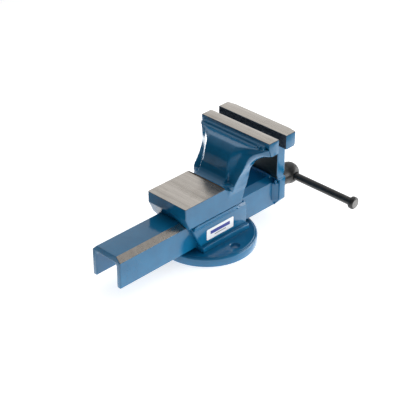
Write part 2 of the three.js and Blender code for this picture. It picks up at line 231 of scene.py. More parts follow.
def withModifiers(bm, settings, slotCount=1, others=()):
    # runs modifiers on a mesh and hands the result back; a Boolean names its tool by its number in others
    holders = []
    for part in (bm, *others):
        mesh = bpy.data.meshes.new("scratch")
        part.to_mesh(mesh)
        part.free()
        for k in range(slotCount):
            mesh.materials.append(scratchMaterials[k])
        holder = bpy.data.objects.new("scratch", mesh)
        bpy.context.scene.collection.objects.link(holder)
        holders.append(holder)
    for kind, values in settings:
        modifier = holders[0].modifiers.new(kind, kind)
        for key, value in values.items():
            setattr(modifier, key, holders[1 + value] if key == "object" else value)
    view = bpy.context.evaluated_depsgraph_get()
    result = bpy.data.meshes.new_from_object(holders[0].evaluated_get(view))
    out = bmesh.new()
    out.from_mesh(result)
    bpy.data.meshes.remove(result)
    for holder in holders:
        mesh = holder.data
        bpy.data.objects.remove(holder)
        bpy.data.meshes.remove(mesh)
    return out


scratchMaterials = [bpy.data.materials.new(f"scratch{k}") for k in range(2)]


def boolean(bm, tools, operation="DIFFERENCE", slotCount=1):
    shared = {"operation": operation, "solver": "EXACT"}
    settings = [("BOOLEAN", {**shared, "object": k}) for k in range(len(tools))]
    return withModifiers(bm, settings, slotCount, tools)


def forge(bm, voxel, smoothing):
    # one skin over everything, with the corners run together as in a forging
    return withModifiers(bm, [
        ("REMESH", {"mode": "VOXEL", "voxel_size": voxel}),
        ("SMOOTH", {"factor": 0.5, "iterations": smoothing}),
    ])


def undulate(bm, wave, waveLength, seed):
    # lets a skin rise and fall by up to about wave
    bm.normal_update()
    shift = Vector((seed * 17.3, seed * 5.1, seed * 11.7))
    moves = []
    for vert in bm.verts:
        place = (vert.co + shift) / waveLength
        amount = noise.noise(place) + 0.35 * noise.noise(place * 3.7)
        moves.append(vert.normal * (amount * wave))
    for vert, move in zip(bm.verts, moves):
        vert.co += move
    return bm


def finishPiece(name, bm, body, replaced, materials, sharp=38):
    bmesh.ops.scale(bm, vec=Vector((mm, mm, mm)), verts=bm.verts)
    bm.normal_update()
    for face in bm.faces:
        face.smooth = True
    for edge in bm.edges:
        edge.smooth = len(edge.link_faces) == 2 and edge.calc_face_angle(0) < math.radians(sharp)
    mesh = bpy.data.meshes.new(name)
    bm.to_mesh(mesh)
    bm.free()
    for material in materials:
        mesh.materials.append(material)
    piece = bpy.data.objects.new(name, mesh)
    bpy.context.scene.collection.objects.link(piece)
    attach(piece, body)
    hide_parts(*replaced)
    return piece


# shader tools

def addNode(tree, kind, sockets=None, **settings):
    node = tree.nodes.new(kind)
    for key, value in settings.items():
        setattr(node, key, value)
    for key, value in (sockets or {}).items():
        if isinstance(value, bpy.types.NodeSocket):
            tree.links.new(value, node.inputs[key])
        else:
            node.inputs[key].default_value = value
    return node


def maths(tree, operation, first, second=0.0, clamp=False):
    node = addNode(tree, "ShaderNodeMath", {0: first, 1: second}, operation=operation, use_clamp=clamp)
    return node.outputs[0]


def vectorMaths(tree, operation, first, second):
    return addNode(tree, "ShaderNodeVectorMath", {0: first, 1: second}, operation=operation).outputs


def times(tree, *factors):
    result = factors[0]
    for factor in factors[1:]:
        result = maths(tree, "MULTIPLY", result, factor)
    return result


def ramp(tree, value, low, high, toLow=0.0, toHigh=1.0):
    return addNode(tree, "ShaderNodeMapRange", {
        "Value": value, "From Min": low, "From Max": high, "To Min": toLow, "To Max": toHigh,
    }).outputs[0]


def mixColour(tree, amount, first, second):
    return addNode(tree, "ShaderNodeMix", {0: amount, 6: first, 7: second}, data_type="RGBA").outputs[2]


def noiseValue(tree, where, scale, detail, roughness=0.5):
    return addNode(tree, "ShaderNodeTexNoise", {
        "Vector": where, "Scale": scale, "Detail": detail, "Roughness": roughness,
    }).outputs["Fac"]


def newGroup(name, inputs, outputs):
    # inputs are name: start value, outputs are names
    tree = bpy.data.node_groups.new(name, "ShaderNodeTree")
    for key, value in inputs.items():
        kind = "NodeSocketVector" if isinstance(value, tuple) else "NodeSocketFloat"
        socket = tree.interface.new_socket(key, in_out="INPUT", socket_type=kind)
        socket.default_value = value
    for key in outputs:
        tree.interface.new_socket(key, in_out="OUTPUT", socket_type="NodeSocketFloat")
    return tree, tree.nodes.new("NodeGroupInput").outputs, tree.nodes.new("NodeGroupOutput").inputs


def objectSpace(tree):
    # the piece's own space, in millimetres
    where = addNode(tree, "ShaderNodeTexCoord").outputs["Object"]
    return addNode(tree, "ShaderNodeVectorMath", {0: where, "Scale": 1 / mm}, operation="SCALE").outputs[0]


def splitPlace(tree, where):
    return addNode(tree, "ShaderNodeSeparateXYZ", {0: where}).outputs


def makeEdgeWear():
    # 1 on edges, broken up along their length
    tree, given, result = newGroup("edgeWear", {"Width": 1.0, "Breakup": 0.5, "Grain": 0.4}, ["Mask"])
    rounded = addNode(tree, "ShaderNodeBevel", {"Radius": times(tree, given["Width"], mm)}, samples=6)
    flat = addNode(tree, "ShaderNodeNewGeometry").outputs["Normal"]
    same = vectorMaths(tree, "DOT_PRODUCT", rounded.outputs[0], flat)["Value"]
    edge = ramp(tree, same, 0.995, 0.90)
    grain = noiseValue(tree, objectSpace(tree), given["Grain"], 4.0, 0.65)
    kept = ramp(tree, grain, 0.35, 0.65)
    broken = maths(tree, "SUBTRACT", edge, times(tree, kept, given["Breakup"]), clamp=True)
    tree.links.new(broken, result["Mask"])
    return tree


def makeSurfaceWave():
    # height in millimetres: long waves of a forging or casting, and the fine peel of a sprayed coat
    tree, given, result = newGroup("surfaceWave", {
        "WaveSize": 20.0, "WaveDepth": 0.1, "PeelSize": 1.2, "PeelDepth": 0.01,
    }, ["Height"])
    where = objectSpace(tree)
    wave = noiseValue(tree, where, maths(tree, "DIVIDE", 1.0, given["WaveSize"]), 1.0)
    peel = noiseValue(tree, where, maths(tree, "DIVIDE", 1.0, given["PeelSize"]), 1.5)
    deepWave = times(tree, wave, given["WaveDepth"])
    deepPeel = times(tree, peel, given["PeelDepth"])
    tree.links.new(maths(tree, "ADD", deepWave, deepPeel), result["Height"])
    return tree


def makeToolMarks():
    # fine parallel lines left by a cutter; Stretch is how much each axis is squeezed
    tree, given, result = newGroup("toolMarks", {"Stretch": (0.02, 1.0, 1.0), "Size": 0.5},
                                   ["Height", "Tone"])
    where = vectorMaths(tree, "MULTIPLY", objectSpace(tree), given["Stretch"])[0]
    lines = noiseValue(tree, where, maths(tree, "DIVIDE", 1.0, given["Size"]), 3.0, 0.7)
    broad = noiseValue(tree, where, maths(tree, "DIVIDE", 0.12, given["Size"]), 2.0, 0.5)
    tone = maths(tree, "ADD", times(tree, lines, 0.45), times(tree, broad, 0.55))
    tree.links.new(lines, result["Height"])
    tree.links.new(tone, result["Tone"])
    return tree


def makeBlotches():
    # soft clouds of stain or oil, 0 to 1
    tree, given, result = newGroup("blotches", {"Size": 15.0, "Amount": 0.5}, ["Mask"])
    cloud = noiseValue(tree, objectSpace(tree), maths(tree, "DIVIDE", 1.0, given["Size"]), 5.0, 0.6)
    start = maths(tree, "SUBTRACT", 0.8, times(tree, given["Amount"], 0.5))
    tree.links.new(ramp(tree, cloud, start, 0.85), result["Mask"])
    return tree


edgeWear = makeEdgeWear()
surfaceWave = makeSurfaceWave()
toolMarks = makeToolMarks()
blotches = makeBlotches()


def placeGroup(tree, group, **values):
    # values are the group's settings by input name
    node = tree.nodes.new("ShaderNodeGroup")
    node.node_tree = group
    for key, value in values.items():
        node.inputs[key].default_value = value
    return node.outputs


def newMaterial(name, **fixed):
    material = bpy.data.materials.new(name)
    material.use_nodes = True
    shader = material.node_tree.nodes["Principled BSDF"]
    for key, value in fixed.items():
        shader.inputs[key].default_value = value
    return material, material.node_tree, shader


def connect(tree, shader, colour, roughness, height=None, strength=1.0):
    tree.links.new(colour, shader.inputs["Base Color"])
    tree.links.new(roughness, shader.inputs["Roughness"])
    if height is not None:
        bump = addNode(tree, "ShaderNodeBump", {"Height": height, "Strength": strength, "Distance": mm})
        tree.links.new(bump.outputs[0], shader.inputs["Normal"])


enamelLook = {
    "deep": (0.003, 0.120, 0.262, 1), "light": (0.005, 0.162, 0.335, 1),
    # the next line: darker enamel on edges, partly thin paint over them and partly painted shade that damps
    # their highlights
    "edgeThinAndShade": (0.004, 0.085, 0.19, 1), "edgeThinAndShadeAmount": 0.35,
    "roughLow": 0.12, "roughHigh": 0.24, "peelDepth": 0.05, "waveDepth": 0.35, "bump": 0.6,
    # the next line: colour, width and core of a painted shade line under milled faces
    "shadeLine": (0.002, 0.018, 0.04, 1), "cutWidth": 1.1, "shadeLineCore": 0.66,
}


def shadeLineMask(tree, top, rearOf):
    # a painted shade line just under a milled face, where y is past rearOf: the dark look of the chamfer
    # there, broken up along its length
    place = splitPlace(tree, objectSpace(tree))
    near = ramp(tree, place[2], top - enamelLook["cutWidth"], top - enamelLook["shadeLineCore"])
    below = maths(tree, "LESS_THAN", place[2], top + 0.1)
    behind = maths(tree, "GREATER_THAN", place[1], rearOf)
    lineBreaks = ramp(tree, noiseValue(tree, objectSpace(tree), 0.35, 3.0, 0.6), 0.3, 0.6, 0.4, 0.95)
    return times(tree, near, below, behind, lineBreaks)


def makeBlueEnamel(name, cutTop=None, rearOf=0):
    look = enamelLook
    material, tree, shader = newMaterial(name, IOR=1.5)
    clouds = placeGroup(tree, blotches, Size=28.0, Amount=0.9)["Mask"]
    edges = placeGroup(tree, edgeWear, Width=0.9, Breakup=0.55, Grain=0.5)["Mask"]
    body = mixColour(tree, clouds, look["deep"], look["light"])
    # edges darkened: thin paint, and painted shade over their highlights
    colour = mixColour(tree, times(tree, edges, look["edgeThinAndShadeAmount"]), body, look["edgeThinAndShade"])
    # a painted shade line under the milled top
    if cutTop:
        colour = mixColour(tree, shadeLineMask(tree, cutTop, rearOf), colour, look["shadeLine"])
    rough = ramp(tree, clouds, 0, 1, look["roughLow"], look["roughHigh"])
    height = placeGroup(tree, surfaceWave, WaveSize=16.0, WaveDepth=look["waveDepth"], PeelSize=1.6,
                        PeelDepth=look["peelDepth"])["Height"]
    connect(tree, shader, colour, rough, height, look["bump"])
    return material


# colours of the painted shade on the moving neck's rear, in the throat between the jaws
throatShadeLook = {
    "shadeDark": (0.004, 0.012, 0.015, 1), "shadeTint": (0.002, 0.035, 0.065, 1), "brownSpeck": (0.035, 0.032, 0.026, 1),
    "roughDry": 0.5, "roughWet": 0.3, "bump": 0.7,
}


def makeThroatShade():
    # painted shade: a dark, blue-tinged coat with brown specks that stands in for the shadow in the jaw's
    # throat
    look = throatShadeLook
    material, tree, shader = newMaterial("throatShade", IOR=1.3)
    shadeTint = placeGroup(tree, blotches, Size=20.0, Amount=0.7)["Mask"]
    specks = placeGroup(tree, blotches, Size=3.5, Amount=0.35)["Mask"]
    colour = mixColour(tree, times(tree, shadeTint, 0.7), look["shadeDark"], look["shadeTint"])
    colour = mixColour(tree, times(tree, specks, 0.7), colour, look["brownSpeck"])
    rough = ramp(tree, shadeTint, 0, 1, look["roughDry"], look["roughWet"])
    height = placeGroup(tree, surfaceWave, WaveSize=9.0, WaveDepth=0.2, PeelSize=1.0,
                        PeelDepth=0.06)["Height"]
    connect(tree, shader, colour, rough, height, look["bump"])
    return material


gripLook = {
    "valley": (0.008, 0.024, 0.048, 1), "tip": (0.16, 0.18, 0.20, 1), "roughDry": 0.45, "roughOiled": 0.28,
}


def makeGripSteel():
    # blued teeth, polished on their tips
    look = gripLook
    material, tree, shader = newMaterial("gripSteel", Metallic=0.7)
    tips = placeGroup(tree, edgeWear, Width=0.5, Breakup=0.5, Grain=0.8)["Mask"]
    oil = placeGroup(tree, blotches, Size=11.0, Amount=0.8)["Mask"]
    colour = mixColour(tree, times(tree, tips, 0.7), look["valley"], look["tip"])
    connect(tree, shader, colour, ramp(tree, oil, 0, 1, look["roughDry"], look["roughOiled"]))
    return material


milledLook = {
    "bright": (0.43, 0.40, 0.365, 1), "dull": (0.31, 0.287, 0.26, 1), "stain": (0.20, 0.165, 0.135, 1),
    "stained": 0.45, "roughLow": 0.18, "roughHigh": 0.32, "lineDepth": 0.02, "bump": 0.8,
}


def makeMilledSteel():
    look = milledLook
    material, tree, shader = newMaterial("milledSteel", Metallic=1.0)
    marks = placeGroup(tree, toolMarks, Stretch=(0.03, 1.0, 1.0), Size=0.9)
    stains = placeGroup(tree, blotches, Size=22.0, Amount=0.55)["Mask"]
    colour = mixColour(tree, ramp(tree, marks["Tone"], 0.35, 0.65), look["dull"], look["bright"])
    colour = mixColour(tree, times(tree, stains, look["stained"]), colour, look["stain"])
    rough = ramp(tree, marks["Tone"], 0.3, 0.7, look["roughHigh"], look["roughLow"])
    connect(tree, shader, colour, rough, times(tree, marks["Height"], look["lineDepth"]), look["bump"])
    return material


blackLook = {
    "oxide": (0.014, 0.014, 0.014, 1), "worn": (0.10, 0.098, 0.095, 1), "dusty": (0.032, 0.031, 0.030, 1),
    "roughLow": 0.3, "roughHigh": 0.48, "lineDepth": 0.015, "bump": 0.6,
}


def makeBlackSteel(name, stretch, wear):
    look = blackLook
    material, tree, shader = newMaterial(name, Metallic=0.25)
    marks = placeGroup(tree, toolMarks, Stretch=stretch, Size=0.7)
    clouds = placeGroup(tree, blotches, Size=9.0, Amount=0.8)["Mask"]
    edges = placeGroup(tree, edgeWear, Width=0.7, Breakup=0.5, Grain=0.6)["Mask"]
    colour = mixColour(tree, clouds, look["oxide"], look["dusty"])
    colour = mixColour(tree, times(tree, edges, wear), colour, look["worn"])
    rough = ramp(tree, marks["Tone"], 0.3, 0.7, look["roughLow"], look["roughHigh"])
    connect(tree, shader, colour, rough, times(tree, marks["Height"], look["lineDepth"]), look["bump"])
    return material


turnedLook = {
    "dark": (0.10, 0.098, 0.095, 1), "bright": (0.26, 0.255, 0.25, 1), "roughLow": 0.3, "roughHigh": 0.5,
    "bump": 0.02,
}


def makeTurnedSteel():
    # the bare turned end of a black part
    look = turnedLook
    material, tree, shader = newMaterial("turnedSteel", Metallic=0.8)
    marks = placeGroup(tree, toolMarks, Stretch=(1.0, 1.0, 1.0), Size=1.4)
    colour = mixColour(tree, marks["Tone"], look["dark"], look["bright"])
    rough = ramp(tree, marks["Tone"], 0.2, 0.8, look["roughLow"], look["roughHigh"])
    connect(tree, shader, colour, rough, marks["Height"], look["bump"])
    return material


bronzeLook = {
    "dull": (0.36, 0.22, 0.085, 1), "bright": (0.55, 0.37, 0.16, 1), "grease": (0.13, 0.085, 0.045, 1),
    "greased": 0.6, "roughLow": 0.32, "roughHigh": 0.55, "bump": 0.02,
}


def makeNutBronze():
    look = bronzeLook
    material, tree, shader = newMaterial("nutBronze", Metallic=1.0)
    marks = placeGroup(tree, toolMarks, Stretch=(1.0, 0.04, 1.0), Size=0.8)
    stains = placeGroup(tree, blotches, Size=12.0, Amount=0.7)["Mask"]
    colour = mixColour(tree, marks["Tone"], look["dull"], look["bright"])
    colour = mixColour(tree, times(tree, stains, look["greased"]), colour, look["grease"])
    rough = ramp(tree, stains, 0, 1, look["roughLow"], look["roughHigh"])
    connect(tree, shader, colour, rough, marks["Height"], look["bump"])
    return material


labelLook = {
    "film": (0.93, 0.95, 0.97, 1), "faded": (0.84, 0.85, 0.86, 1), "blueInk": (0.05, 0.07, 0.33, 1),
    "greyInk": (0.36, 0.34, 0.37, 1), "roughLow": 0.28, "roughHigh": 0.45,
    "bandRise": 0.10, "band": (0.72, 0.32), "lineDrop": 0.22, "line": (0.42, 0.10), "corner": 2,
}


def inkBar(tree, place, rise, share):
    # 1 inside a printed bar; rise and share are parts of the label's height, and of its length and height
    low, high = cadBox("side_label")
    length, height = high.y - low.y, high.z - low.z
    middle = cadMiddle("side_label")
    along = maths(tree, "ABSOLUTE", maths(tree, "SUBTRACT", place[1], middle.y))
    up = maths(tree, "ABSOLUTE", maths(tree, "SUBTRACT", place[2], middle.z + rise * height))
    return times(tree, maths(tree, "LESS_THAN", along, share[0] * length / 2),
                 maths(tree, "LESS_THAN", up, share[1] * height / 2))


def makeLabelFilm():
    look = labelLook
    material, tree, shader = newMaterial("labelFilm", IOR=1.46)
    place = splitPlace(tree, objectSpace(tree))
    fade = placeGroup(tree, blotches, Size=14.0, Amount=0.7)["Mask"]
    colour = mixColour(tree, fade, look["film"], look["faded"])
    colour = mixColour(tree, inkBar(tree, place, look["bandRise"], look["band"]), colour, look["blueInk"])
    colour = mixColour(tree, inkBar(tree, place, -look["lineDrop"], look["line"]), colour, look["greyInk"])
    connect(tree, shader, colour, ramp(tree, fade, 0, 1, look["roughLow"], look["roughHigh"]))
    return material


blueEnamel = makeBlueEnamel("blueEnamel")
milledSteel = makeMilledSteel()
# a dark coat that paints in the throat's shade
throatShade = makeThroatShade()
gripSteel = makeGripSteel()
blackSteel = makeBlackSteel("blackSteel", (1.0, 1.0, 1.0), 0.35)
drawnBlackSteel = makeBlackSteel("drawnBlackSteel", (0.05, 1.0, 1.0), 0.25)
threadSteel = makeBlackSteel("threadSteel", (1.0, 0.3, 1.0), 0.9)
turnedSteel = makeTurnedSteel()
nutBronze = makeNutBronze()
labelFilm = makeLabelFilm()
# these two enamels carry a painted shade line under their milled tops
bodyEnamel = makeBlueEnamel("bodyEnamel", mountPlace("anvil_top").z)
jawEnamel = makeBlueEnamel("jawEnamel", cadBox("fixed_jaw_bar")[1].z, cadBounds[0][1] / mm)
painted = [blueEnamel, milledSteel]
jawSurfaces = [jawEnamel, milledSteel, gripSteel]
print("materials made")


# flange

flangeLook = {
    "bandWidth": 2.2, "shoulder": 1.4, "segments": 180,
    "boltCircle": 54, "boltHole": 6.5, "holeFlare": 0.8, "sink": 8.4, "sinkDepth": 9.3, "screwHole": 5.3,
}


def screwPlace(side):
    return placeAcross("z", cadMiddle(f"nut_screw_{side}"))


def makeBaseFlange():
    look = flangeLook
    low, high = cadBox("base_flange")
    radius, top = high.x, high.z
    shoulder, band = radius - look["shoulder"], radius - look["shoulder"] - look["bandWidth"]
    # the turned rim as radius and drop below the top: two soft steps from the side to the flat
    rim = [(radius, 2.9), (radius - 0.15, 2.5), (shoulder + 0.35, 1.55), (shoulder + 0.05, 1.5),
           (shoulder, 1.25), (shoulder - 0.25, 0.95), (band + 0.5, 0.7), (band + 0.15, 0.55),
           (band, 0.25), (band - 0.35, 0), (0, 0)]
    foot = [(0, 0), (radius - 1.0, 0), (radius - 0.3, 0.3), (radius, 1.0)]
    disc = lathe("z", foot + [(r, top - drop) for r, drop in rim], (0, 0), look["segments"])
    cutters = []
    for x, y in ((1, 0), (0, 1), (-1, 0), (0, -1)):
        place = (look["boltCircle"] * x, look["boltCircle"] * y)
        cutters.append(flaredBore("z", look["boltHole"], look["holeFlare"], low.z, top, place, 40))
    sink, depth, hole = look["sink"], look["sinkDepth"], look["screwHole"]
    for side in ("left", "right"):
        steps = [(0, -1), (sink, -1), (sink, depth), (hole, depth), (hole, top + 1), (0, top + 1)]
        cutters.append(lathe("z", steps, screwPlace(side), 40))
    disc = boolean(disc, cutters)
    return finishPiece("round_flange", disc, "fixed_body", ["base_flange"], [blueEnamel], 30)


# lower housing

housingLook = {"edge": 0.9, "padEdge": 1.3}


def makeFootPad():
    pad = softEdges(cadCopy("foot_pad"), housingLook["padEdge"], 3, 60)
    return finishPiece("foot_tray", pad, "fixed_body", ["foot_pad"], painted)


def makeSideWall(side):
    wall = softEdges(cadCopy(f"side_wall_{side}"), housingLook["edge"], 3)
    return finishPiece(f"side_plate_{side}", wall, "fixed_body", [f"side_wall_{side}"],
                       painted)


# welds

weldLook = {
    "pitch": 1.9, "ripple": 0.09, "wobble": 0.16, "voxel": 0.5, "step": 0.4, "arc": 12,
    "taper": 2.4, "root": 0.8,
}


def weldBead(start, end, out, width, height, seed, ripple=weldLook["ripple"], wobble=weldLook["wobble"]):
    # a rippled run of weld whose crown stands towards out
    look = weldLook
    start, end, out = Vector(start), Vector(end), Vector(out).normalized()
    along = (end - start).normalized()
    across = along.cross(out).normalized()
    length = (end - start).length
    steps = max(10, round(length / look["step"]))
    shift = Vector((seed * 7.1, seed * 3.3, seed * 9.7))
    bm = bmesh.new()
    rings = []
    for i in range(steps + 1):
        s = length * i / steps
        place = start + along * s
        fade = math.sqrt(min(1, (s + 0.4) / look["taper"], (length - s + 0.4) / look["taper"]))
        wave = 1 + ripple * math.cos(2 * math.pi * s / look["pitch"])
        half = width / 2 * fade * (1 + wobble * noise.noise((place + shift) / 2.5))
        rise = height * fade * wave * (1 + wobble * noise.noise((place - shift) / 3.5))
        ring = []
        for k in range(look["arc"] + 1):
            angle = math.pi * k / look["arc"]
            lag = 0.4 * look["pitch"] * math.sin(angle)
            crown = across * (half * math.cos(angle)) + out * (rise * math.sin(angle))
            ring.append(place + crown - along * lag)
        for sign in (-1, 1):
            ring.append(place + across * (sign * 0.7 * half) - out * look["root"])
        rings.append([bm.verts.new(point) for point in ring])
    count = len(rings[0])
    for near, far in zip(rings, rings[1:]):
        for k in range(count):
            j = (k + 1) % count
            bm.faces.new((near[k], near[j], far[j], far[k]))
    bm.faces.new(rings[0][::-1])
    bm.faces.new(rings[-1])
    bmesh.ops.recalc_face_normals(bm, faces=bm.faces)
    return bm


def spatter(bm, low, high, count, sizes):
    # lumps of weld metal scattered in a box
    for _ in range(count):
        lump = bmesh.new()
        bmesh.ops.create_icosphere(lump, subdivisions=2, radius=random.uniform(*sizes))
        centre = Vector(random.uniform(low[i], high[i]) for i in range(3))
        for vert in lump.verts:
            vert.co = centre + vert.co * (1 + 0.25 * noise.noise(vert.co * 1.3 + centre))
        addInto(bm, lump)
    return bm


def finishWeld(name, bm, body, node, smoothing=1):
    bm = forge(bm, weldLook["voxel"], smoothing)
    return finishPiece(name, bm, body, [node], painted, 60)


seamLook = {"widths": (3.6, 4.0, 2.0), "heights": (1.25, 1.2, 0.55), "lumps": 6, "lumpSizes": (0.5, 0.9)}


def makeSeamWeld(side, sign):
    # two ground runs, one over the other, a thin one above, and a row of lumps where they stop
    look = seamLook
    low, high = cadBox(f"seam_weld_{side}")
    inner = min(abs(low.x), abs(high.x))
    wall = cadBox("side_wall_right")[1]
    outline = [(inner + 0.2, wall.z), (wall.x + 0.2, low.z + 0.5), (wall.x + 0.9, low.z + 2),
               (wall.x + 1.6, wall.z + 0.2), (wall.x + 2, high.z - 1.2)]
    backing = prism("y", [(sign * x, z) for x, z in outline], low.y + 1, high.y - 0.4)
    runs = [(wall.x + 0.4, low.z + 1.9), (wall.x + 1.3, low.z + 5.2), (wall.x + 2, high.z - 1.3)]
    for k, (x, z) in enumerate(runs):
        bead = weldBead((sign * x, high.y - 0.8, z), (sign * x, low.y + 1 + 2 * k, z), (sign, 0, -0.25),
                        look["widths"][k], look["heights"][k], seed=k + 3, ripple=0.05, wobble=0.1)
        addInto(backing, bead)
    lumpX = sorted((sign * (wall.x + 0.8), sign * (wall.x + 2.2)))
    spatter(backing, (lumpX[0], low.y - 1.5, low.z + 2), (lumpX[1], low.y + 5, high.z - 2), look["lumps"],
            look["lumpSizes"])
    return finishWeld(f"seam_bead_{side}", backing, "fixed_body", f"seam_weld_{side}")


jawWeldLook = {
    "leg": 8.4, "rise": 6.4, "wave": 0.35, "waveLength": 6, "width": 5, "height": 1.5,
    "lumpsLeft": 44, "lumpsRight": 8, "lumpReach": (40, 59), "lumpSizes": (0.8, 1.9),
}


def makeJawWeld():
    # ground back to a fillet along the bar, left rough at its ends
    look = jawWeldLook
    low, high = cadBox("jaw_weld")
    rear, foot, leg = low.y, low.z, look["leg"]
    fillet = [(rear - 0.2, foot - 1), (rear + leg, foot - 1), (rear + leg, foot + 0.1),
              (rear + 5, foot + 1.4), (rear + 2.4, foot + 3.6), (rear - 0.2, foot + look["rise"])]
    line = prism("x", fillet, low.x - 1, high.x + 1, 60)
    undulate(line, look["wave"], look["waveLength"], 9)
    bead = weldBead((low.x, rear + 3, foot + 2.2), (high.x, rear + 3, foot + 2.2), (0, 0.72, 0.69),
                    look["width"], look["height"], seed=1, ripple=0.03, wobble=0.15)
    addInto(line, bead)
    for sign, count in ((-1, look["lumpsLeft"]), (1, look["lumpsRight"])):
        ends = sorted(sign * reach for reach in look["lumpReach"])
        spatter(line, (ends[0], rear - 0.5, foot - 4), (ends[1], rear + 7, high.z - 0.5), count,
                look["lumpSizes"])
    return finishWeld("jaw_bead", line, "fixed_body", "jaw_weld")


plateWeldLook = {"leg": 7.6, "height": 1.1, "sunk": 0.8, "clear": 5.5, "lumps": 16, "lumpSizes": (0.8, 1.7)}


def makePlateWeld(side, sign):
    # clear keeps its lower end above the plate's cut corner
    look = plateWeldLook
    low, high = cadBox(f"plate_weld_{side}")
    leg, bottom = look["leg"], low.z + look["clear"]
    x, y = sign * (min(abs(low.x), abs(high.x)) - look["sunk"]), low.y - look["sunk"]
    outline = [(x, y), (x + sign * (leg + 0.3), y), (x, y + leg + 0.3)]
    corner = prism("z", outline, bottom + 0.5, high.z + 1)
    x, y = x + sign * leg / 2, y + leg / 2
    bead = weldBead((x, y, bottom), (x, y, high.z + 1.5), (sign, 1, 0), leg * 1.5, look["height"],
                    seed=5 + sign, ripple=0.05)
    addInto(bead, corner)
    ends = sorted((x, x + sign * 2.5))
    spatter(bead, (ends[0], y - 1, high.z - 1), (ends[1], y + 2, high.z + 6), look["lumps"],
            look["lumpSizes"])
    return finishWeld(f"plate_bead_{side}", bead, "moving_jaw", f"plate_weld_{side}", 2)


neckWeldLook = {"width": 5.6, "height": 2.0, "sideWidth": 5.4, "sideHeight": 1.2}


def makeNeckWeld():
    # across the neck's foot, and down the plate's two top corners
    look = neckWeldLook
    low, high = cadBox("neck_weld")
    y, z = low.y + 1.4, low.z + 0.7
    bead = weldBead((low.x - 6, y, z), (high.x + 6, y, z), (0, 0.8, 0.6), look["width"], look["height"],
                    seed=11)
    plateLow, plateHigh = cadBox("front_plate")
    for sign in (-1, 1):
        x, z = sign * (plateHigh.x - 0.9), plateHigh.z + 0.4
        seam = weldBead((x, plateLow.y + 2.2, z), (x, plateHigh.y + 4.5, z), (sign, 0, 0.25),
                        look["sideWidth"], look["sideHeight"], seed=15 + sign, ripple=0.06, wobble=0.25)
        addInto(bead, seam)
    return finishWeld("neck_bead", bead, "moving_jaw", "neck_weld")


frontWeldLook = {"width": 5.4, "height": 1.8}


def makeFrontWeld():
    look = frontWeldLook
    low, high = cadBox("front_weld")
    y, z = high.y - 1.0, low.z + 0.6
    bead = weldBead((low.x, y, z), (high.x, y, z), (0, -0.8, 0.6), look["width"], look["height"], seed=13)
    return finishWeld("front_bead", bead, "moving_jaw", "front_weld")


# fixed jaw body

forgingLook = {
    "voxel": 0.9, "smoothing": 6, "wave": 0.16, "waveLength": 24, "allowance": 2.2, "halfWidth": 35.2,
    "heelEnd": 0.3, "slotGap": 0.32, "dish": 0.6, "capRise": (132, 140), "capDepth": (-50, -31),
    "flare": 1.6, "rimWidth": (31, 34), "rimFoot": (78, 88), "rimTop": (108, 96), "rimFront": (-3, -9),
}


def slideSlotCutter(clearance):
    # the slide's own outline, a little larger, so that the forging sits over it
    high = cadBox("slide_channel")[1]
    bevel = channelLook["bevel"]
    x, top = high.x + clearance, high.z + clearance
    half = [(x, 0), (x, top - bevel), (x - bevel, top)]
    outline = half + [(-u, v) for u, v in reversed(half)]
    body = cadBox("fixed_jaw_body")
    return prism("y", outline, body[0].y - 10, body[1].y + 10)


def smooth(value, low, high):
    # eases from 0 at low to 1 at high; low may be the larger one
    t = min(1, max(0, (value - low) / (high - low)))
    return t * t * (3 - 2 * t)


def dishCap(bm):
    # the forging's cap is hollow behind the jaw bar and its rear edge stands up a little
    look = forgingLook
    for vert in bm.verts:
        lift = smooth(vert.co.y, *look["capDepth"]) * smooth(vert.co.z, *look["capRise"])
        vert.co.z += look["dish"] * lift


def flareFoot(bm):
    # the rims at the neck's foot keep their full width down to the anvil
    look = forgingLook
    for vert in bm.verts:
        x, y, z = vert.co
        lift = smooth(z, *look["rimFoot"]) * smooth(z, *look["rimTop"]) * smooth(y, *look["rimFront"])
        vert.co.x += math.copysign(look["flare"] * lift * smooth(abs(x), *look["rimWidth"]), x)


def makeFixedJawBody():
    look = forgingLook
    low, high = cadBox("fixed_jaw_body")
    anvil, width, heelEnd = mountPlace("anvil_top").z, look["halfWidth"], look["heelEnd"]
    blank = cadCopy("fixed_jaw_body")
    addInto(blank, block((-width, heelEnd, anvil - 6), (width, high.y, anvil + look["allowance"])))
    blank = undulate(forge(blank, look["voxel"], look["smoothing"]), look["wave"], look["waveLength"], 2)
    dishCap(blank)
    flareFoot(blank)
    milled = block((low.x, heelEnd, anvil), (high.x, high.y + 5, anvil + 20), slot=1)
    blank = boolean(blank, [milled, slideSlotCutter(look["slotGap"])], slotCount=2)
    return finishPiece("forged_body", blank, "fixed_body", ["fixed_jaw_body"],
                       [bodyEnamel, milledSteel], 50)


# jaw bars

jawBarLook = {
    "pitch": 2.0, "toothDepth": 0.65, "margin": 1.2, "inset": 1, "edge": 0.45, "seatFront": -59.4,
    "seatTop": 141, "corner": 5, "cornerReach": 13, "cornerDepth": 2.5,
}


def jawBar(node, outline, gripSign, reshape=None):
    # gripSign is which way along Y the toothed face looks
    look = jawBarLook
    low, high = cadBox(node)
    face = high.y if gripSign > 0 else low.y
    bar = prism("x", outline, low.x, high.x, round((high.x - low.x) / look["pitch"]))
    if reshape:
        for vert in bar.verts:
            reshape(vert)
    easeEnds(bar, 0, look["edge"])
    grip = []
    for side in bar.faces:
        centre = side.calc_center_median()
        inside = low.x + look["margin"] < centre.x < high.x - look["margin"]
        if side.normal.y * gripSign > 0.99 and inside and abs(centre.y - face) < look["toothDepth"] + 0.1:
            side.material_index = 2
            grip.append(side)
        if side.normal.z > 0.99:
            side.material_index = 1
    poked = bmesh.ops.poke(bar, faces=grip, offset=look["toothDepth"], center_mode="MEAN")
    for vert in poked["verts"]:
        vert.co.y = face
    return bar


